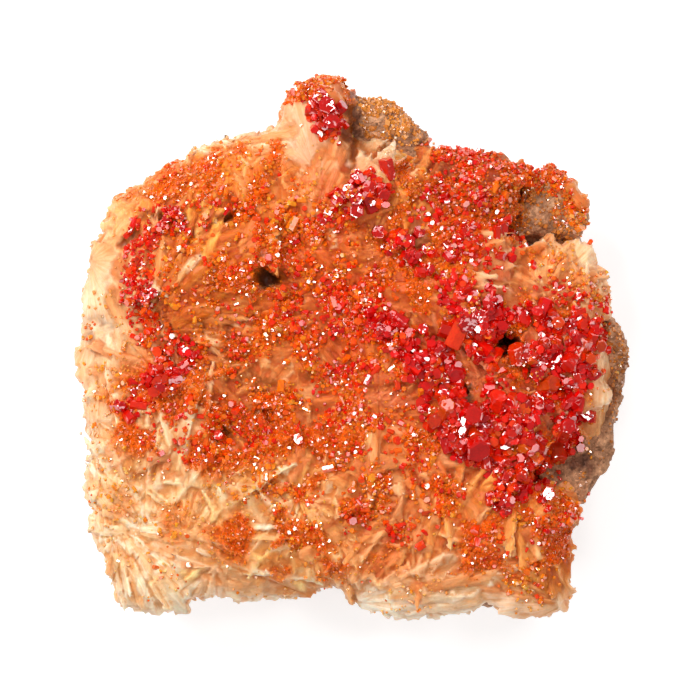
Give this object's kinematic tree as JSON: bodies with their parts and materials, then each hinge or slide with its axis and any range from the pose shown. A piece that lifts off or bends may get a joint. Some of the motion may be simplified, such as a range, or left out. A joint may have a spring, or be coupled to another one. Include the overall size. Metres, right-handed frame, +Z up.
{
  "type": "vanadinite on matrix",
  "caption": "Loose mineral hand specimen: red six-sided vanadinite crystals on a crust of pale and amber bladed baryte over brown gossan rock, lying on its flat back.",
  "frame": {"origin": "middle of the specimen's footprint, on the flat face underneath that it rests on", "axes": "+Z up, away from the resting face and out of the crystal-covered side; +X along the specimen's width; +Y towards the horn at its far edge"},
  "size_m": [0.09, 0.0888, 0.0275],
  "materials": {
    "rock": "rough sugary brown gossan with golden-brown druse",
    "baryte": "satin to pearly cream and peach blades, slightly translucent",
    "baryte_amber": "satin orange-amber blades stained by iron",
    "vanadinite": "brilliant glossy red to orange-red crystal faces"
  },
  "bodies": {
    "root": {"baryte_band_bottom_left": "baryte", "baryte_band_bottom_right": "baryte", "baryte_blades_top_left": "baryte", "baryte_block_corner": "baryte", "baryte_border_lower_right": "baryte", "baryte_crest": "baryte", "baryte_fan_centre_west": "baryte", "baryte_fan_right": "baryte", "baryte_field_north": "baryte", "baryte_field_south": "baryte", "baryte_horn": "baryte", "baryte_margin_left": "baryte", "baryte_margin_lower_left": "baryte", "baryte_patch_west": "baryte_amber", "baryte_rim_top_right": "baryte_amber", "baryte_rosette_amber": "baryte_amber", "baryte_sheaf_corner": "baryte", "baryte_sheaf_lower_centre": "baryte", "baryte_sheaf_lower_left": "baryte", "baryte_sheaf_lower_right": "baryte", "baryte_sheet_centre": "baryte", "baryte_sheet_lower": "baryte", "baryte_shell_right": "baryte", "matrix_rock": "rock", "vanadinite_arc_north": "vanadinite", "vanadinite_arc_west": "vanadinite", "vanadinite_ball": "vanadinite", "vanadinite_centre_east": "vanadinite", "vanadinite_clump_centre": "vanadinite", "vanadinite_crest": "vanadinite", "vanadinite_disc_a": "vanadinite", "vanadinite_disc_b": "vanadinite", "vanadinite_disc_c": "vanadinite", "vanadinite_disc_d": "vanadinite", "vanadinite_disc_e": "vanadinite", "vanadinite_field_east": "vanadinite", "vanadinite_field_main": "vanadinite", "vanadinite_field_middle": "vanadinite", "vanadinite_field_south_east": "vanadinite", "vanadinite_field_west": "vanadinite", "vanadinite_horn": "vanadinite", "vanadinite_horn_rim": "vanadinite", "vanadinite_prism_a": "vanadinite", "vanadinite_prism_b": "vanadinite", "vanadinite_prism_c": "vanadinite", "vanadinite_prism_d": "vanadinite", "vanadinite_prism_e": "vanadinite", "vanadinite_prism_f": "vanadinite", "vanadinite_rim": "vanadinite", "vanadinite_streak_west": "vanadinite"}
  },
  "joints": []
}
